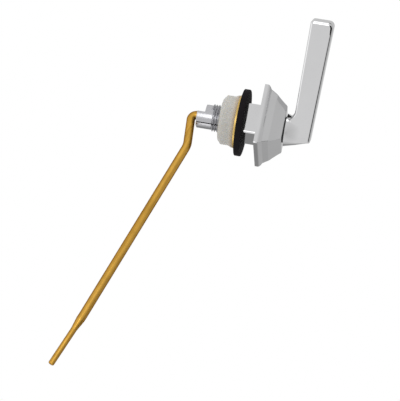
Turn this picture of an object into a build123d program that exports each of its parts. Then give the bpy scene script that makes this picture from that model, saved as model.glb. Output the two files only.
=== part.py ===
from build123d import *
import os
from math import cos, isclose, radians, sin, tan

# Cistern lever for the front of a toilet cistern, left-hand pattern, in millimetres with +Z up.
# The shaft runs along Y. The origin is on the shaft's axis, in the plane where the escutcheon's rim
# seats on the outside of the cistern wall. +Y points into the cistern and the user stands at -Y.
# The lever's pieces are drawn with the handle level, then turned down about the shaft to the pressed stop.

# Escutcheon flange
rim_side = 38.0
rim_edge = 1.4
lip_round = 2.85
lip_turn = 60.0
ogee_round = 1.7
shoulder_lean = 25.0
shoulder_rise = 3.5
shoulder_round = 4.0
slope_lean = 36.5
face_lean = 30.0
escutcheon_depth = 14.9
escutcheon_wall = 2.3
hollow_lean = 31.9
face_edge_round = 1.1
ridge_round = 0.6

# Square neck and threaded shank
neck_side = 19.1
neck_length = 8.65
neck_edge_round = 1.1
thread_root_dia = 14.25
thread_length = 20.15
shank_end_dia = 14.65
shank_end_length = 4.2
half_shell_length = 4.75
shank_chamfer = 0.4
drain_slot_width = 0.7
drain_slot_length = 17.1
drain_slot_angle = -36.0

# Clamp stack behind the cistern wall
stack_bore_dia = 16.7
gasket_dia = 40.3
gasket_thickness = 3.7
gasket_edge_round = 0.5
clamp_washer_dia = 32.1
clamp_washer_thickness = 1.5
clamp_washer_edge_round = 0.25
nut_dia = 29.65
nut_length = 9.7
nut_flare_dia = 31.55
nut_flare_length = 3.05
nut_chamfer_length = 1.9
nut_chamfer_depth = 2.4
nut_bore_clearance = 0.1
nut_edge_round = 0.7

# Spindle and its fits
spindle_dia = 9.0
running_clearance = 0.05
seat_clearance = 0.02
tang_dia = 6.65
tang_length = 11.4
tang_flat_depth = 0.6
spindle_end_setback = 0.3
thrust_washer_dia = 15.6
thrust_washer_thickness = 0.75

# Handle bar, measured from the shaft's axis and from the hub face
handle_reach = 67.65
handle_butt = 4.35
handle_thickness = 14.25
bar_setback = 4.05
bar_depth = 11.6
bar_rear_lean = 1.15
bar_front_lean = 2.8
tip_rear_round = 1.75
tip_front_round = 3.2
bar_edge_round = 1.6
ear_reach = 6.75
ear_lean = 30.0
ear_blend_round = 7.6

# Handle neck, from its round base at the hub face to its square toe at the bar's front
neck_base_dia = 19.75
neck_waist_at = 3.25
neck_waist_width = 17.3
neck_waist_proud = 1.35
neck_waist_round = 6.65
neck_shoulder_at = 7.1
neck_shoulder_width = 14.65
neck_shoulder_proud = 0.25
neck_shoulder_round = 4.0
neck_knee_at = 10.15
neck_knee_width = 12.15
neck_knee_inset = 0.04
neck_knee_round = 2.1
neck_toe_at = 15.2
neck_toe_width = 9.2
neck_toe_inset = 0.5
neck_toe_round = 1.05

# Handle grub screw
grub_screw_dia = 4.0
grub_screw_length = 4.3
grub_screw_at = 2.95
grub_key_size = 2.0
grub_key_depth = 1.8

# Stop pin and the turn that it allows
press_travel = 34.0
pin_dia = 2.0
pin_at = 2.1
pin_angle = 95.0
pin_reach = 6.95
pin_foot = 1.15

# Brass arm
arm_dia = 5.1
arm_depth_in_spindle = 11.4
arm_standoff = 3.95
arm_elbow_round = 3.3
arm_dogleg_at = 20.3
arm_first_lean = 4.4
arm_dogleg_turn = 18.1
arm_dogleg_round = 12.0
arm_run = 120.0
arm_tip_lean = 2.1
arm_tip_bend_round = 25.0
arm_taper = 6.7
arm_tip_dia = 3.55
arm_tip_length = 24.1
arm_tip_round = 0.95
arm_droop = 34.0

# Places along the shaft, from the cistern wall
face_y = -escutcheon_depth
hub_y = face_y - thrust_washer_thickness
bar_rear_y = hub_y - bar_setback
thread_end_y = neck_length + thread_length
full_end_y = thread_end_y + shank_end_length
shank_end_y = full_end_y + half_shell_length
gasket_rear_y = neck_length + gasket_thickness
washer_rear_y = gasket_rear_y + clamp_washer_thickness
spindle_end_y = full_end_y - spindle_end_setback
pin_y = thread_end_y + pin_at
arm_y = shank_end_y + arm_standoff

# Radii that several pieces share
spindle_r = spindle_dia / 2
shank_bore_r = spindle_r + running_clearance
arm_r = arm_dia / 2
pin_r = pin_dia / 2
tang_r = tang_dia / 2
thickness_half = handle_thickness / 2

# From the level handle to the pressed stop
pressed = Rot(0, -press_travel, 0)


def along_y(radius, start, end):
    """A round bar on the shaft's axis between two places along it."""
    return Pos(0, (start + end) / 2, 0) * Rot(90, 0, 0) * Cylinder(radius, end - start)


def radial(radius, inner, outer, place, angle):
    """A round bar square to the shaft; the angle runs from +X towards +Z."""
    bar = Pos((inner + outer) / 2, 0, 0) * Rot(0, 90, 0) * Cylinder(radius, outer - inner)
    return Pos(0, place, 0) * Rot(0, -angle, 0) * bar


def ring(outer, inner, start, end):
    return along_y(outer, start, end) - along_y(inner, start, end)


def mitred(half_outline):
    """A square-plan body with the same half outline on all four sides."""
    half = make_face(half_outline)
    outline = half + mirror(half, about=Plane.YZ)
    slab = extrude(outline, amount=rim_side, both=True)
    return slab & (Rot(0, 90, 0) * slab)


def flange():
    rim_half = rim_side / 2
    side = Line((rim_half, 0), (rim_half, -rim_edge))
    lip = JernArc(side @ 1, side % 1, lip_round, -lip_turn)
    ogee = JernArc(lip @ 1, lip % 1, ogee_round, lip_turn - shoulder_lean)
    rise = Line(ogee @ 1, ogee @ 1 + (ogee % 1) * shoulder_rise)
    shoulder = JernArc(rise @ 1, rise % 1, shoulder_round, shoulder_lean - slope_lean)
    slope_depth = escutcheon_depth + (shoulder @ 1).Y
    slope_round = slope_depth / (sin(radians(slope_lean)) - sin(radians(face_lean)))
    slope = JernArc(shoulder @ 1, shoulder % 1, slope_round, slope_lean - face_lean)
    close = Polyline(slope @ 1, (0, face_y), (0, 0), (rim_half, 0))
    body = mitred([side, lip, ogee, rise, shoulder, slope, close])
    body = fillet(body.edges().group_by(Axis.Y)[0], face_edge_round)
    return fillet(mitre_ridges(body), ridge_round)


def mitre_ridges(body):
    """The edges on the two diagonals, where neighbouring sides meet."""
    middles = [(edge, edge @ 0.5) for edge in body.edges()]
    return [edge for edge, spot in middles if isclose(abs(spot.X), abs(spot.Z), rel_tol=0.001)]


def back_hollow():
    mouth = rim_side / 2 - escutcheon_wall
    depth = escutcheon_depth - escutcheon_wall
    floor = mouth - depth * tan(radians(hollow_lean))
    return mitred(Polyline((0, 0), (mouth, 0), (floor, -depth), (0, -depth), close=True))


def square_neck():
    front = face_y + escutcheon_wall
    block = Pos(0, (front + neck_length) / 2, 0) * Box(neck_side, neck_length - front, neck_side)
    return fillet(block.edges().filter_by(Axis.Y), neck_edge_round)


def shank():
    threaded = along_y(thread_root_dia / 2, neck_length - escutcheon_wall, thread_end_y)
    end = along_y(shank_end_dia / 2, thread_end_y, shank_end_y)
    end = chamfer(end.edges().group_by(Axis.Y)[-1], shank_chamfer)
    cut_half = Align.MAX, Align.MIN, Align.CENTER
    open_side = Pos(0, full_end_y, 0) * Box(shank_end_dia, shank_end_dia, 2 * shank_end_dia, align=cut_half)
    return threaded + (end - open_side)


def stop_slot():
    """The arc slot that the stop pin sweeps, with a round end at each limit."""
    half_width = pin_r + running_clearance
    ends = [radial(half_width, 0, shank_end_dia, pin_y, pin_angle + turn) for turn in (0, press_travel)]
    strip = Pos(shank_end_dia / 2, pin_y) * Rectangle(shank_end_dia, 2 * half_width)
    sweep_between = revolve(strip, axis=Axis.Y, revolution_arc=press_travel)
    return Rot(0, -pin_angle - press_travel, 0) * sweep_between + ends


def drain_slot():
    rearmost = Align.MIN, Align.MAX, Align.CENTER
    blade = Box(shank_end_dia, drain_slot_length, drain_slot_width, align=rearmost)
    return Rot(0, -drain_slot_angle, 0) * Pos(0, shank_end_y, 0) * blade


def escutcheon():
    body = flange() - back_hollow() + square_neck() + shank()
    body -= along_y(shank_bore_r, face_y, shank_end_y)
    return body - stop_slot() - drain_slot()


def thrust_washer():
    return ring(thrust_washer_dia / 2, shank_bore_r, hub_y, face_y)


def gasket():
    disc = ring(gasket_dia / 2, stack_bore_dia / 2, neck_length, gasket_rear_y)
    return fillet(outer_rims(disc), gasket_edge_round)


def clamp_washer():
    disc = ring(clamp_washer_dia / 2, stack_bore_dia / 2, gasket_rear_y, washer_rear_y)
    return fillet(outer_rims(disc), clamp_washer_edge_round)


def outer_rims(disc):
    return disc.edges().filter_by(GeomType.CIRCLE).sort_by(SortBy.RADIUS)[-2:]


def clamp_nut():
    bore = shank_end_dia / 2 + nut_bore_clearance
    front = washer_rear_y
    rear = front + nut_length
    outside = nut_dia / 2
    outline = Polyline(
        (bore, front),
        (nut_flare_dia / 2, front),
        (nut_flare_dia / 2, front + nut_flare_length / 3),
        (outside, front + nut_flare_length),
        (outside, rear - nut_chamfer_length),
        (outside - nut_chamfer_depth, rear),
        (bore, rear),
        close=True,
    )
    body = revolve(make_face(outline), axis=Axis.Y)
    rims = body.edges().filter_by(GeomType.CIRCLE).group_by(Axis.Y)
    rear_rim = rims[-1].sort_by(SortBy.RADIUS)[-1]
    shoulder = rims[-2].sort_by(SortBy.RADIUS)[-1]
    return fillet([rear_rim, shoulder], nut_edge_round)


def handle_bar():
    """The flat bar, with an ear on its rear that sweeps down to the hub face."""
    rear_slope = tan(radians(bar_rear_lean))
    front_slope = tan(radians(bar_front_lean))
    ear_slope = tan(radians(ear_lean))
    ear_foot = (ear_reach + bar_setback * ear_slope) / (1 - ear_slope * rear_slope)
    ear_root = (-ear_foot, bar_rear_y - ear_foot * rear_slope)
    tip_rear = (-handle_reach, bar_rear_y - handle_reach * rear_slope)
    tip_front = (-handle_reach, bar_rear_y - bar_depth - handle_reach * front_slope)
    butt_front = (handle_butt, bar_rear_y - bar_depth + handle_butt * front_slope)
    ear_tip = (-ear_reach, hub_y)
    butt_rear = (handle_butt, hub_y)
    outline = make_face(Polyline(ear_tip, ear_root, tip_rear, tip_front, butt_front, butt_rear, close=True))
    outline = fillet(nearest_corner(outline, ear_root), ear_blend_round)
    outline = fillet(nearest_corner(outline, tip_rear), tip_rear_round)
    outline = fillet(nearest_corner(outline, tip_front), tip_front_round)
    bar = extrude(outline, amount=thickness_half, both=True)
    sides = bar.faces().filter_by(Axis.Z)
    side_edges = [edge for side in sides for edge in side.outer_wire().edges()]
    long_edges = [edge for edge in side_edges if (edge @ 0.5).Y < hub_y - neck_toe_inset]
    return fillet(long_edges, bar_edge_round)


def nearest_corner(outline, spot):
    return outline.vertices().sort_by_distance((*spot, 0))[0]


def handle_neck():
    """A loft from the round base to the square toe."""
    full = handle_thickness
    stations = [
        (0, neck_base_dia, neck_base_dia, 0.498 * neck_base_dia),
        (neck_waist_at, neck_waist_width, full + 2 * neck_waist_proud, neck_waist_round),
        (neck_shoulder_at, neck_shoulder_width, full + 2 * neck_shoulder_proud, neck_shoulder_round),
        (neck_knee_at, neck_knee_width, full - 2 * neck_knee_inset, neck_knee_round),
        (neck_toe_at, neck_toe_width, full - 2 * neck_toe_inset, neck_toe_round),
    ]
    sections = []
    for along, width, thickness, corner in stations:
        level = Plane((0, hub_y - along, 0), x_dir=(1, 0, 0), z_dir=(0, -1, 0))
        sections.append(level * RectangleRounded(width, thickness, corner))
    return loft(sections)


def handle():
    body = handle_bar() + handle_neck()
    body -= along_y(tang_r + seat_clearance, hub_y - tang_length - seat_clearance, hub_y)
    grub_y = hub_y - grub_screw_at
    return body - radial(grub_screw_dia / 2 + seat_clearance, 0, neck_base_dia, grub_y, 0)


def handle_grub_screw():
    seat = tang_r - tang_flat_depth
    place = hub_y - grub_screw_at
    outer = seat + grub_screw_length
    screw = radial(grub_screw_dia / 2, seat, outer, place, 0)
    key = extrude(RegularPolygon(grub_key_size / 2, 6, major_radius=False), -grub_key_depth)
    return screw - Pos(outer, place, 0) * Rot(0, 90, 0) * key


def spindle():
    body = along_y(spindle_r, hub_y, spindle_end_y)
    tang = along_y(tang_r, hub_y - tang_length, hub_y)
    flat_at = tang_r - tang_flat_depth
    beyond_flat = Align.MIN, Align.MAX, Align.CENTER
    flat = Pos(flat_at, hub_y, 0) * Box(tang_r, tang_length, tang_dia, align=beyond_flat)
    body += tang - flat
    body -= along_y(arm_r + seat_clearance, spindle_end_y - arm_depth_in_spindle, spindle_end_y)
    return body - radial(pin_r, -arm_r - pin_foot, spindle_dia, pin_y, pin_angle)


def stop_pin():
    return radial(pin_r, -arm_r - pin_foot, pin_reach, pin_y, pin_angle)


def arm_heading(lean):
    return Vector(cos(lean), sin(lean), 0)


def arm():
    start = spindle_end_y - arm_depth_in_spindle
    dogleg = Vector(arm_dogleg_at, arm_y - arm_dogleg_at * tan(radians(arm_first_lean)), 0)
    run_lean = radians(arm_dogleg_turn)
    tip_bend = dogleg + arm_heading(run_lean) * arm_run
    tip_heading = arm_heading(run_lean + radians(arm_tip_lean))
    run_end = tip_bend + tip_heading * arm_r
    corners = [(0, start, 0), (0, arm_y, 0), dogleg, tip_bend, run_end]
    rounds = [arm_elbow_round, arm_dogleg_round, arm_tip_bend_round]
    route = FilletPolyline(*corners, radius=rounds)
    section = Plane((0, start, 0), z_dir=(0, 1, 0)) * Circle(arm_r)
    rod = sweep(section, path=route)
    upward = Align.CENTER, Align.CENTER, Align.MIN
    taper = Cone(arm_r, arm_tip_dia / 2, arm_taper, align=upward)
    tip = Pos(0, 0, arm_taper) * Cylinder(arm_tip_dia / 2, arm_tip_length, align=upward)
    tip = fillet(tip.edges().group_by(Axis.Z)[-1], arm_tip_round)
    rod += Plane(run_end, z_dir=tip_heading) * (taper + tip)
    drooped = Rot(0, arm_droop, 0) * rod
    return drooped - radial(pin_r, -arm_dia, arm_dia, pin_y, pin_angle)


fixed_pieces = {
    "escutcheon": escutcheon,
    "thrust_washer": thrust_washer,
    "gasket": gasket,
    "clamp_washer": clamp_washer,
    "clamp_nut": clamp_nut,
}
turning_pieces = {
    "handle": handle,
    "handle_grub_screw": handle_grub_screw,
    "spindle": spindle,
    "stop_pin": stop_pin,
    "arm": arm,
}

os.makedirs("parts", exist_ok=True)
for name, make in fixed_pieces.items():
    export_step(make(), f"parts/{name}.step")
for name, make in turning_pieces.items():
    export_step(pressed * make(), f"parts/{name}.step")
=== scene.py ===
from math import asin, ceil, cos, pi, radians, tan

import bmesh
import bpy
from bpy.props import FloatProperty, FloatVectorProperty, IntProperty, PointerProperty
from mathutils import Matrix, Vector


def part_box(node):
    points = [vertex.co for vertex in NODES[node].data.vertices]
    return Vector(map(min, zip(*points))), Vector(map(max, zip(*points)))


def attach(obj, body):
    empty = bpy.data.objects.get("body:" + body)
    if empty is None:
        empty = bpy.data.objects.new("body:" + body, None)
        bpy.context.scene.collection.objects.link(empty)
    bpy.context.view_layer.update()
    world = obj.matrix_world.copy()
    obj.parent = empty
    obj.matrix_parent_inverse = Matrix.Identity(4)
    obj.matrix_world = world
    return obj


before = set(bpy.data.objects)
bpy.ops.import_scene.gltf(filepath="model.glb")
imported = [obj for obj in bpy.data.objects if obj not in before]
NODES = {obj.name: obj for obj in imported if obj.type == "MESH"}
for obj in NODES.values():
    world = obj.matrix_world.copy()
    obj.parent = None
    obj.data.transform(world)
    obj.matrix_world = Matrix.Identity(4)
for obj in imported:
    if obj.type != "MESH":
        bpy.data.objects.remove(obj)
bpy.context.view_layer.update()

bl_info = {
    "name": "Cistern Lever",
    "version": (1, 0, 0),
    "blender": (4, 5, 0),
    "location": "View3D > Sidebar > Cistern Lever",
    "description": "Dresses a cistern lever: chromed castings, brass arm, nylon nut and rubber gasket",
    "category": "Object",
}

# Places of the sockets of a Mix node, which share their names
COLOUR_A, COLOUR_B, COLOUR_RESULT = 6, 7, 2
VALUE_A, VALUE_B = 2, 3

# Depth of the fine relief in each kind of surface
METAL_GRAIN_DEPTH = 0.00005
MOULDED_GRAIN_DEPTH = 0.0001
DIE_LINE_DEPTH = 0.0001

# Lines that the die leaves along the arm: their direction about Z, and their length, width and height
DIE_LINE_TURN = radians(18.1)
DIE_LINE_SIZE = (0.06, 0.0016, 0.0016)

# Width of the change from polished to satin casting, and of the painted shade and painted brass reflection on
# the nut by the washer
FINISH_CHANGE = 0.0002
PAINTED_WASHER_SHADE_WIDTH = 0.0036

# Thread form: lean of its flanks, and half of its flat crest as a share of the pitch
FLANK_LEAN = radians(30)
CREST_LAND = 0.06

# Turn between two faces from which their edge is sharp
SHARP_EDGE = radians(25)

# Stage: half the floor's width, the floor's share of white to the camera, and where the studio's walls darken
FLOOR_SPAN = 20.0
FLOOR_GLOW = 0.8
CEILING_FROM, CEILING_TO = 0.25, 0.8
FRONT_FROM, FRONT_TO = -0.82, -0.1
WHITE = (1, 1, 1, 1)

# Soft dark flags in the reflections
FLAGS = (
    {"side": (-0.95, -0.15, 0.25), "narrow": 3.0, "inner": 23, "outer": 31, "level": 0.03},
    {"side": (0.413, -0.863, -0.294), "narrow": 1.0, "inner": 11, "outer": 18.5, "level": 0.0},
    {"side": (0.37, 0.12, 0.92), "narrow": 1.0, "inner": 8, "outer": 24, "level": 0.54},
)

# Lamps round the lever, in metres and watts; the one named tip is close to the handle's end
LAMPS = (
    {"name": "key", "side": (-0.87, 0.05, -0.49), "distance": 1.2, "width": 0.7, "height": 0.7,
     "power": 2.6, "gleams": False},
    {"name": "rear", "side": (0.30, 0.93, -0.20), "distance": 1.2, "width": 1.1, "height": 1.1,
     "power": 1.85},
    {"name": "low", "side": (0.96, 0.21, 0.14), "distance": 1.2, "width": 0.35, "height": 0.5,
     "power": 0.45},
    {"name": "near", "side": (0.276, 0.12, -0.95), "distance": 1.0, "width": 0.3, "height": 0.57,
     "power": 1.0},
    {"name": "tip", "side": (-0.707, 0.03, -0.707), "distance": 0.06, "width": 0.03, "height": 0.044,
     "power": 0.005, "centre": (-0.051, -0.027, -0.042)},
    {"name": "top", "side": (0.2, -0.4, 0.9), "distance": 1.4, "width": 1.0, "height": 1.0,
     "power": 8.0, "gleams": False},
)

# Small dark card by the handle's end
CARD_CENTRE = (-0.051, -0.033, -0.0424)
CARD_SIDE = (0.48, -0.54, -0.68)
CARD_DISTANCE = 0.0114
CARD_RADIUS = 0.007
CARD_SEGMENTS = 24

# Camera: its place, the directions to its right and behind it, and its lens in millimetres
CAMERA_PLACE = (0.343425, -0.0855475, -0.8234885)
CAMERA_RIGHT = (-0.2028, -0.9774, 0.0604)
CAMERA_BACK = (0.3298, -0.1262, -0.9356)
CAMERA_LENS = 135.0
SENSOR_WIDTH = 36.0
CAMERA_REACH = 50.0


class LeverSizes(bpy.types.PropertyGroup):
    """Sizes of the detail that the solids leave out."""

    thread_start: FloatProperty(
        name="Thread start", description="Where the thread begins along the shaft",
        default=0.0089, unit="LENGTH")
    thread_end: FloatProperty(
        name="Thread end", description="Where the thread runs out along the shaft",
        default=0.0296, unit="LENGTH")
    thread_root: FloatProperty(
        name="Thread root radius", description="Radius at the bottom of the thread",
        default=0.00705, unit="LENGTH")
    thread_crest: FloatProperty(
        name="Thread crest radius", description="Radius at the top of the thread",
        default=0.0082, unit="LENGTH")
    thread_pitch: FloatProperty(
        name="Thread pitch", description="Advance of the left-hand thread in one turn",
        default=0.0015, unit="LENGTH")
    thread_steps: IntProperty(
        name="Steps per turn", description="Faces around one turn of the thread",
        default=72)
    slot_front: FloatProperty(
        name="Slot front", description="Where the drain slot ends along the shaft",
        default=0.02065, unit="LENGTH")
    slot_width: FloatProperty(
        name="Slot width", description="Width of the drain slot through the thread",
        default=0.0007, unit="LENGTH")
    slot_angle: FloatProperty(
        name="Slot angle", description="Side of the shank that the drain slot is on, from +X towards +Z",
        default=radians(-36), subtype="ANGLE")
    nut_front: FloatProperty(
        name="Nut front", description="Where the nut meets the brass washer along the shaft",
        default=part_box("clamp_nut")[0][1], unit="LENGTH")
    polished_to: FloatProperty(
        name="Polished to", description="Where the polished casting gives way to the satin shank",
        default=0.0087, unit="LENGTH")


class LeverFinish(bpy.types.PropertyGroup):
    """Colours of the finishes."""

    chrome: FloatVectorProperty(
        name="Chrome", description="Colour of the polished plating",
        subtype="COLOR", size=3, default=(0.58, 0.58, 0.585))
    cast_chrome: FloatVectorProperty(
        name="Cast chrome", description="Colour of the plating on the unpolished shank",
        subtype="COLOR", size=3, default=(0.46, 0.46, 0.475))
    brass: FloatVectorProperty(
        name="Brass", description="Colour of the drawn brass arm",
        subtype="COLOR", size=3, default=(0.70, 0.40, 0.075))
    washer_brass: FloatVectorProperty(
        name="Washer brass", description="Colour of the stamped brass washer",
        subtype="COLOR", size=3, default=(0.62, 0.43, 0.14))
    nylon: FloatVectorProperty(
        name="Nylon", description="Colour of the moulded nut",
        subtype="COLOR", size=3, default=(0.66, 0.645, 0.60))
    rubber: FloatVectorProperty(
        name="Rubber", description="Colour of the gasket",
        subtype="COLOR", size=3, default=(0.012, 0.010, 0.012))
    washer_plastic: FloatVectorProperty(
        name="Thrust washer", description="Colour of the dark thrust washer",
        subtype="COLOR", size=3, default=(0.02, 0.02, 0.022))
    steel: FloatVectorProperty(
        name="Steel", description="Colour of the spindle, pin and grub screw",
        subtype="COLOR", size=3, default=(0.50, 0.50, 0.51))


class LeverStage(bpy.types.PropertyGroup):
    """Floor and light."""

    floor_level: FloatProperty(
        name="Floor level", description="Height of the floor under the lever",
        default=-1.1, unit="LENGTH")
    floor: FloatVectorProperty(
        name="Floor", description="Colour of the floor",
        subtype="COLOR", size=3, default=(0.8, 0.8, 0.8))
    ambient: FloatProperty(
        name="Ambient", description="Strength of the even light from all round",
        default=0.57)
    ceiling: FloatProperty(
        name="Ceiling", description="Strength of the studio's ceiling in reflections",
        default=0.64)
    front: FloatProperty(
        name="Front", description="Strength of the studio's front side in reflections",
        default=0.735)


def finish():
    return bpy.context.scene.lever_finish


def sizes():
    return bpy.context.scene.lever_sizes


def feed(tree, node, inputs):
    """Links outputs to a node's inputs, or sets them to plain values; inputs go by name or by place."""
    for key, value in inputs.items():
        if isinstance(value, bpy.types.NodeSocket):
            tree.links.new(value, node.inputs[key])
        else:
            node.inputs[key].default_value = value


def add(tree, kind, inputs, **settings):
    """A node with its settings and with what feeds its inputs."""
    node = tree.nodes.new(kind)
    for key, value in settings.items():
        setattr(node, key, value)
    feed(tree, node, inputs)
    return node


def ramp(tree, source, start, end, low=0.0, high=1.0, smooth=False):
    """Maps a value from one range to another."""
    ends = {"Value": source, "From Min": start, "From Max": end, "To Min": low, "To Max": high}
    style = "SMOOTHSTEP" if smooth else "LINEAR"
    return add(tree, "ShaderNodeMapRange", ends, interpolation_type=style).outputs["Result"]


def noise(tree, place, scale, detail, roughness):
    feeds = {"Vector": place, "Scale": scale, "Detail": detail, "Roughness": roughness}
    return add(tree, "ShaderNodeTexNoise", feeds).outputs[0]


def mix_colour(tree, mask, first, second, blend="MIX"):
    feeds = {"Factor": mask, COLOUR_A: first, COLOUR_B: second}
    return add(tree, "ShaderNodeMix", feeds, data_type="RGBA", blend_type=blend).outputs[COLOUR_RESULT]


def mix_value(tree, mask, first, second):
    feeds = {"Factor": mask, VALUE_A: first, VALUE_B: second}
    return add(tree, "ShaderNodeMix", feeds, data_type="FLOAT").outputs["Result"]


def along_shaft(tree, place):
    return add(tree, "ShaderNodeSeparateXYZ", {"Vector": place}).outputs["Y"]


def shade(colour, factor):
    """A colour made lighter or darker, with an opaque alpha."""
    return (*(min(1.0, channel * factor) for channel in colour), 1)


def film_group():
    """Faint uneven film on a surface: a soft cloud and a finer grain."""
    name = "SurfaceFilm"
    if name in bpy.data.node_groups:
        return bpy.data.node_groups[name]
    tree = bpy.data.node_groups.new(name, "ShaderNodeTree")
    tree.interface.new_socket(name="Vector", in_out="INPUT", socket_type="NodeSocketVector")
    for label in ("Cloud Scale", "Grain Scale"):
        tree.interface.new_socket(name=label, in_out="INPUT", socket_type="NodeSocketFloat")
    for label in ("Film", "Grain"):
        tree.interface.new_socket(name=label, in_out="OUTPUT", socket_type="NodeSocketFloat")
    given = tree.nodes.new("NodeGroupInput").outputs
    cloud = noise(tree, given["Vector"], given["Cloud Scale"], detail=4.0, roughness=0.55)
    grain = noise(tree, given["Vector"], given["Grain Scale"], detail=2.0, roughness=0.5)
    add(tree, "NodeGroupOutput", {"Film": ramp(tree, cloud, 0.3, 0.7), "Grain": grain})
    return tree


def new_material(name):
    """A node material; returns it with its tree, object coordinates and Principled shader."""
    material = bpy.data.materials.new(name)
    material.use_nodes = True
    tree = material.node_tree
    shader = tree.nodes["Principled BSDF"]
    place = tree.nodes.new("ShaderNodeTexCoord")
    return material, tree, place.outputs["Object"], shader


def film_on(tree, place, cloud, grain):
    """Puts the film on a material; returns its cloud and its grain."""
    feeds = {"Vector": place, "Cloud Scale": cloud, "Grain Scale": grain}
    group = add(tree, "ShaderNodeGroup", feeds, node_tree=film_group())
    return group.outputs["Film"], group.outputs["Grain"]


def relief(tree, shader, height, strength, depth):
    bump = add(tree, "ShaderNodeBump", {"Height": height, "Strength": strength, "Distance": depth})
    feed(tree, shader, {"Normal": bump.outputs[0]})


def uneven(tree, film, colour, spread):
    """A colour that the film makes a little lighter and darker."""
    return mix_colour(tree, film, shade(colour, 1 + spread / 2), shade(colour, 1 - spread / 2))


def metal(name, colour, rough, cloud, grain, bump, spread):
    """Metal whose film varies its colour and gloss a little."""
    material, tree, place, shader = new_material(name)
    film, fine = film_on(tree, place, cloud, grain)
    feed(tree, shader, {
        "Base Color": uneven(tree, film, colour, spread),
        "Roughness": ramp(tree, film, 0.0, 1.0, *rough),
        "Metallic": 1.0,
    })
    relief(tree, shader, fine, bump, METAL_GRAIN_DEPTH)
    return material


def plastic(name, colour, rough, cloud, grain, bump, spread, gleam=0.5):
    """Plastic or rubber whose film varies its colour and whose grain varies its gloss."""
    material, tree, place, shader = new_material(name)
    film, fine = film_on(tree, place, cloud, grain)
    feed(tree, shader, {
        "Base Color": uneven(tree, film, colour, spread),
        "Roughness": ramp(tree, fine, 0.0, 1.0, *rough),
        "Specular IOR Level": gleam,
    })
    relief(tree, shader, fine, bump, MOULDED_GRAIN_DEPTH)
    return material


def moulded_nylon():
    """Off-white nylon, slightly translucent, with painted shade and a painted warm reflection of the brass
    washer beside it.
    """
    front = sizes().nut_front
    material, tree, place, shader = new_material("nut_nylon")
    film, fine = film_on(tree, place, cloud=70.0, grain=1500.0)
    # Painted shade and painted reflection: the nut's colour is darkened and warmed next to the brass washer.
    painted_washer_shade = ramp(tree, along_shaft(tree, place), front, front + PAINTED_WASHER_SHADE_WIDTH, 1.0, 0.0, smooth=True)
    base = uneven(tree, film, finish().nylon, 0.03)
    feed(tree, shader, {
        "Base Color": mix_colour(tree, painted_washer_shade, base, (0.9, 0.76, 0.62, 1), "MULTIPLY"),
        "Roughness": ramp(tree, fine, 0.0, 1.0, 0.35, 0.5),
        "Specular IOR Level": 0.35,
        "Subsurface Weight": 0.25,
        "Subsurface Radius": (1.0, 0.8, 0.55),
        "Subsurface Scale": 0.003,
    })
    relief(tree, shader, fine, 0.1, MOULDED_GRAIN_DEPTH)
    return material


def casting_chrome():
    """Polished chrome in front of the wall, satin cast plating on the shank behind it."""
    colours = finish()
    change = sizes().polished_to
    material, tree, place, shader = new_material("casting_chrome")
    film, fine = film_on(tree, place, cloud=45.0, grain=700.0)
    behind = ramp(tree, along_shaft(tree, place), change - FINISH_CHANGE / 2, change + FINISH_CHANGE / 2)
    polished = mix_colour(tree, film, shade(colours.chrome, 1.02), shade(colours.chrome, 0.97))
    satin = mix_colour(tree, film, shade(colours.cast_chrome, 1.06), shade(colours.cast_chrome, 0.9))
    polished_rough = ramp(tree, film, 0.0, 1.0, 0.04, 0.08)
    satin_rough = ramp(tree, film, 0.0, 1.0, 0.2, 0.3)
    feed(tree, shader, {
        "Base Color": mix_colour(tree, behind, polished, satin),
        "Roughness": mix_value(tree, behind, polished_rough, satin_rough),
        "Metallic": 1.0,
    })
    relief(tree, shader, fine, 0.03, METAL_GRAIN_DEPTH)
    return material


def drawn_brass():
    """Satin rod with fine lines along it from the die and a mottled tarnish, darkened by painted shade where
    it turns away.
    """
    colour = finish().brass
    material, tree, place, shader = new_material("drawn_brass")
    film, _ = film_on(tree, place, cloud=160.0, grain=1600.0)
    turned = {"Vector": place, "Rotation": (0, 0, DIE_LINE_TURN), "Scale": DIE_LINE_SIZE}
    along = add(tree, "ShaderNodeMapping", turned, vector_type="TEXTURE").outputs[0]
    lines = noise(tree, along, scale=1.0, detail=3.0, roughness=0.6)
    streaks = ramp(tree, lines, 0.35, 0.65)
    tarnish = mix_colour(tree, film, shade(colour, 1.08), shade(colour, 0.86))
    streaked = mix_colour(tree, streaks, (0.76, 0.73, 0.66, 1), WHITE)
    # Painted shade: the rod's colour is darkened towards its edges, where its surface turns away from the
    # view.
    aside = add(tree, "ShaderNodeLayerWeight", {"Blend": 0.5}).outputs["Facing"]
    painted_edge_shade = ramp(tree, aside, 0.06, 0.5, smooth=True)
    dull = mix_colour(tree, 1.0, tarnish, streaked, "MULTIPLY")
    feed(tree, shader, {
        "Base Color": mix_colour(tree, painted_edge_shade, dull, (0.63, 0.61, 0.72, 1), "MULTIPLY"),
        "Roughness": ramp(tree, streaks, 0.0, 1.0, 0.36, 0.26),
        "Metallic": 1.0,
        "Specular Tint": (0.5, 0.3, 0.08, 1),
    })
    relief(tree, shader, lines, 0.12, DIE_LINE_DEPTH)
    return material


def dress(node, material):
    """Puts a finish on a CAD node."""
    mesh = NODES[node].data
    mesh.materials.clear()
    mesh.materials.append(material)


def mesh_object(name, shape, material):
    """An object at the origin with its shape in its mesh and one finish."""
    mesh = bpy.data.meshes.new(name)
    shape.to_mesh(mesh)
    shape.free()
    mesh.materials.append(material)
    made = bpy.data.objects.new(name, mesh)
    bpy.context.scene.collection.objects.link(made)
    return made


class LEVER_OT_castings(bpy.types.Operator):
    """Chrome the escutcheon and the handle"""

    bl_idname = "lever.castings"
    bl_label = "Castings"

    def execute(self, context):
        dress("escutcheon", casting_chrome())
        dress("handle", metal("handle_chrome", finish().chrome, rough=(0.04, 0.08), cloud=40.0, grain=700.0,
                              bump=0.03, spread=0.05))
        return {"FINISHED"}


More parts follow.
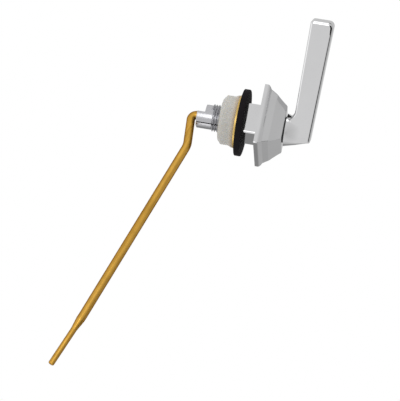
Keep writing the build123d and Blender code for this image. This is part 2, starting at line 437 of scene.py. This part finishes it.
class LEVER_OT_thread(bpy.types.Operator):
    """Wind the left-hand thread round the shank, open where the drain slot crosses it"""

    bl_idname = "lever.thread"
    bl_label = "Shank thread"

    def execute(self, context):
        size = sizes()
        shape = bmesh.new()
        gap = asin(size.slot_width / 2 / size.thread_root)
        first = size.thread_start + size.thread_pitch / 2
        last = size.thread_end - size.thread_pitch / 2
        whole = ceil((size.slot_front - first) / size.thread_pitch)
        self.wind(shape, first, size.slot_angle + gap, 2 * pi * whole - 2 * gap)
        first += whole * size.thread_pitch
        while first < last:
            span = min(2 * pi - 2 * gap, (last - first) / size.thread_pitch * 2 * pi)
            self.wind(shape, first, size.slot_angle + gap, span)
            first += size.thread_pitch
        bmesh.ops.recalc_face_normals(shape, faces=shape.faces)
        for face in shape.faces:
            face.smooth = True
        for edge in shape.edges:
            edge.smooth = edge.calc_face_angle(0) < SHARP_EDGE
        thread = mesh_object("shank_thread", shape, bpy.data.materials["casting_chrome"])
        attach(thread, "mount")
        return {"FINISHED"}

    def wind(self, shape, start, angle, span):
        """One stretch of the ridge, from a place along the shaft and an angle round it."""
        size = sizes()
        land = size.thread_pitch * CREST_LAND
        foot = land + (size.thread_crest - size.thread_root) * tan(FLANK_LEAN)
        outline = [(size.thread_root, -foot), (size.thread_crest, -land),
                   (size.thread_crest, land), (size.thread_root, foot)]
        corners = [shape.verts.new((radius, start + along, 0)) for radius, along in outline]
        section = shape.faces.new(corners)
        bmesh.ops.rotate(shape, verts=corners, cent=(0, 0, 0), matrix=Matrix.Rotation(-angle, 3, "Y"))
        turns = span / (2 * pi)
        steps = ceil(turns * size.thread_steps)
        bmesh.ops.spin(
            shape, geom=[section, *section.edges, *section.verts], cent=(0, 0, 0), axis=(0, -1, 0),
            dvec=(0, turns * size.thread_pitch / steps, 0), angle=span, steps=steps, use_duplicate=False)


class LEVER_OT_pivot(bpy.types.Operator):
    """Finish the thrust washer, spindle, pin and grub screw"""

    bl_idname = "lever.pivot"
    bl_label = "Pivot pieces"

    def execute(self, context):
        colours = finish()
        dark = plastic("washer_plastic", colours.washer_plastic, rough=(0.35, 0.5), cloud=200.0, grain=1500.0,
                       bump=0.1, spread=0.1)
        dress("thrust_washer", dark)
        steel = metal("turned_steel", colours.steel, rough=(0.22, 0.34), cloud=120.0, grain=1600.0,
                      bump=0.15, spread=0.15)
        for node in ("spindle", "stop_pin", "handle_grub_screw"):
            dress(node, steel)
        return {"FINISHED"}


class LEVER_OT_arm(bpy.types.Operator):
    """Finish the brass arm"""

    bl_idname = "lever.arm"
    bl_label = "Brass arm"

    def execute(self, context):
        dress("arm", drawn_brass())
        return {"FINISHED"}


class LEVER_OT_clamp(bpy.types.Operator):
    """Finish the gasket, the clamp washer and the nut"""

    bl_idname = "lever.clamp"
    bl_label = "Clamp stack"

    def execute(self, context):
        colours = finish()
        dress("gasket", plastic("gasket_rubber", colours.rubber, rough=(0.7, 0.85), cloud=90.0, grain=1800.0,
                                bump=0.3, spread=0.3, gleam=0.08))
        dress("clamp_washer", metal("stamped_brass", colours.washer_brass, rough=(0.32, 0.4), cloud=60.0,
                                    grain=1500.0, bump=0.03, spread=0.1))
        dress("clamp_nut", moulded_nylon())
        return {"FINISHED"}


def facing(side, distance, centre=(0, 0, 0)):
    """A place on one side of a centre, turned towards it with its width along the shaft."""
    aim = Vector(side).normalized()
    across = Vector((0, 1, 0)).cross(aim).normalized()
    turn = Matrix((aim.cross(across), -across, aim)).transposed().to_4x4()
    return Matrix.Translation(Vector(centre) + aim * distance) @ turn


def soft_box(name, side, distance, width, height, power, gleams=True, centre=(0, 0, 0)):
    """A lamp on one side of the lever, out of the camera's sight."""
    data = bpy.data.lights.new(name, "AREA")
    data.shape = "RECTANGLE"
    data.size = width
    data.size_y = height
    data.energy = power
    lamp = bpy.data.objects.new(name, data)
    lamp.matrix_world = facing(side, distance, centre)
    lamp.visible_camera = False
    lamp.visible_glossy = gleams
    bpy.context.scene.collection.objects.link(lamp)


class LEVER_OT_stage(bpy.types.Operator):
    """Set the floor, the light and the camera"""

    bl_idname = "lever.stage"
    bl_label = "Stage"

    def execute(self, context):
        stage = context.scene.lever_stage
        self.set_floor(stage)
        self.set_card()
        self.set_world(stage)
        for lamp in LAMPS:
            soft_box(**lamp)
        self.set_camera(context.scene)
        context.scene.view_settings.view_transform = "Standard"
        return {"FINISHED"}

    def set_floor(self, stage):
        """A pale floor that is nearly white to the camera and stays out of the chrome."""
        shape = bmesh.new()
        bmesh.ops.create_grid(shape, x_segments=1, y_segments=1, size=FLOOR_SPAN,
                              matrix=Matrix.Translation((0, 0, stage.floor_level)))
        material, tree, place, shader = new_material("floor_paint")
        film, _ = film_on(tree, place, cloud=3.0, grain=40.0)
        feed(tree, shader, {"Base Color": uneven(tree, film, stage.floor, 0.02), "Roughness": 0.8})
        seen = tree.nodes.new("ShaderNodeLightPath").outputs["Is Camera Ray"]
        share = add(tree, "ShaderNodeMath", {0: seen, 1: FLOOR_GLOW}, operation="MULTIPLY").outputs[0]
        glow = add(tree, "ShaderNodeEmission", {"Color": WHITE, "Strength": 1.0}).outputs[0]
        mix = add(tree, "ShaderNodeMixShader", {0: share, 1: shader.outputs[0], 2: glow})
        feed(tree, tree.nodes["Material Output"], {"Surface": mix.outputs[0]})
        floor = mesh_object("floor", shape, material)
        floor.visible_glossy = False

    def set_card(self):
        """A small dark card by the handle's end, seen in the chrome only."""
        shape = bmesh.new()
        bmesh.ops.create_circle(shape, cap_ends=True, segments=CARD_SEGMENTS, radius=CARD_RADIUS,
                                matrix=facing(CARD_SIDE, CARD_DISTANCE, CARD_CENTRE))
        felt = plastic("card_felt", (0.01, 0.01, 0.01), rough=(0.9, 1.0), cloud=40.0, grain=900.0,
                       bump=0.1, spread=0.3, gleam=0.0)
        card = mesh_object("card", shape, felt)
        card.visible_camera = False
        card.visible_diffuse = False
        card.visible_shadow = False

    def set_world(self, stage):
        """White to the camera, even light on the pieces, and a graded studio in their reflections."""
        world = bpy.data.worlds.new("studio")
        bpy.context.scene.world = world
        world.use_nodes = True
        tree = world.node_tree
        tree.nodes.clear()
        rays = tree.nodes.new("ShaderNodeLightPath").outputs
        straight = {0: rays["Is Camera Ray"], 1: rays["Is Transmission Ray"]}
        seen = add(tree, "ShaderNodeMath", straight, operation="MAXIMUM").outputs[0]
        lit = mix_value(tree, rays["Is Glossy Ray"], stage.ambient, self.studio(tree, stage))
        strength = mix_value(tree, seen, lit, 1.0)
        backdrop = add(tree, "ShaderNodeBackground", {"Color": WHITE, "Strength": strength})
        add(tree, "ShaderNodeOutputWorld", {"Surface": backdrop.outputs[0]})

    def studio(self, tree, stage):
        """Walls that darken towards the ceiling and the front, with soft dark flags."""
        look = tree.nodes.new("ShaderNodeTexCoord").outputs["Generated"]
        split = add(tree, "ShaderNodeSeparateXYZ", {"Vector": look}).outputs
        level = ramp(tree, split["Z"], CEILING_FROM, CEILING_TO, 1.0, stage.ceiling)
        front = ramp(tree, split["Y"], FRONT_FROM, FRONT_TO, stage.front, 1.0)
        for part in (front, *(self.flag(tree, look, **flag) for flag in FLAGS)):
            level = add(tree, "ShaderNodeMath", {0: level, 1: part}, operation="MULTIPLY").outputs[0]
        return level

    def flag(self, tree, look, side, narrow, inner, outer, level):
        """A soft-edged dark flag in the reflections: its direction, how much narrower it is along the shaft,
        the angles in degrees of its full and its faint edge, and what it leaves of the light."""
        squeeze = Vector((1, narrow, 1))
        aim = (Vector(side) * squeeze).normalized()
        pressed = add(tree, "ShaderNodeVectorMath", {0: look, 1: squeeze}, operation="MULTIPLY").outputs[0]
        turned = add(tree, "ShaderNodeVectorMath", {0: pressed}, operation="NORMALIZE").outputs[0]
        towards = add(tree, "ShaderNodeVectorMath", {0: turned, 1: aim}, operation="DOT_PRODUCT")
        faint, full = cos(radians(outer)), cos(radians(inner))
        return ramp(tree, towards.outputs["Value"], faint, full, 1.0, level, smooth=True)

    def set_camera(self, scene):
        data = bpy.data.cameras.new("camera")
        data.sensor_fit = "HORIZONTAL"
        data.sensor_width = SENSOR_WIDTH
        data.lens = CAMERA_LENS
        data.clip_end = CAMERA_REACH
        camera = bpy.data.objects.new("camera", data)
        back = Vector(CAMERA_BACK).normalized()
        up = back.cross(Vector(CAMERA_RIGHT)).normalized()
        turn = Matrix((up.cross(back), up, back)).transposed().to_4x4()
        camera.matrix_world = Matrix.Translation(CAMERA_PLACE) @ turn
        scene.collection.objects.link(camera)
        scene.camera = camera


class LEVER_PT_panel(bpy.types.Panel):
    """Lists the lever's pieces in the sidebar"""

    bl_idname = "LEVER_PT_panel"
    bl_label = "Cistern Lever"
    bl_space_type = "VIEW_3D"
    bl_region_type = "UI"
    bl_category = "Cistern Lever"

    def draw(self, context):
        for piece in PIECES:
            self.layout.operator(piece.bl_idname)
        for group in (context.scene.lever_sizes, context.scene.lever_finish, context.scene.lever_stage):
            for name in group.__annotations__:
                self.layout.prop(group, name)


PIECES = (LEVER_OT_castings, LEVER_OT_thread, LEVER_OT_pivot, LEVER_OT_arm, LEVER_OT_clamp, LEVER_OT_stage)
GROUPS = {"lever_sizes": LeverSizes, "lever_finish": LeverFinish, "lever_stage": LeverStage}


def register():
    for made in (*GROUPS.values(), *PIECES, LEVER_PT_panel):
        bpy.utils.register_class(made)
    for name, made in GROUPS.items():
        setattr(bpy.types.Scene, name, PointerProperty(type=made))


def unregister():
    for name in GROUPS:
        delattr(bpy.types.Scene, name)
    for made in (LEVER_PT_panel, *reversed(PIECES), *reversed(GROUPS.values())):
        bpy.utils.unregister_class(made)


def main():
    register()
    bpy.ops.lever.stage()
    bpy.ops.lever.castings()
    bpy.ops.lever.thread()
    bpy.ops.lever.pivot()
    bpy.ops.lever.arm()
    bpy.ops.lever.clamp()


if __name__ == "__main__":
    main()
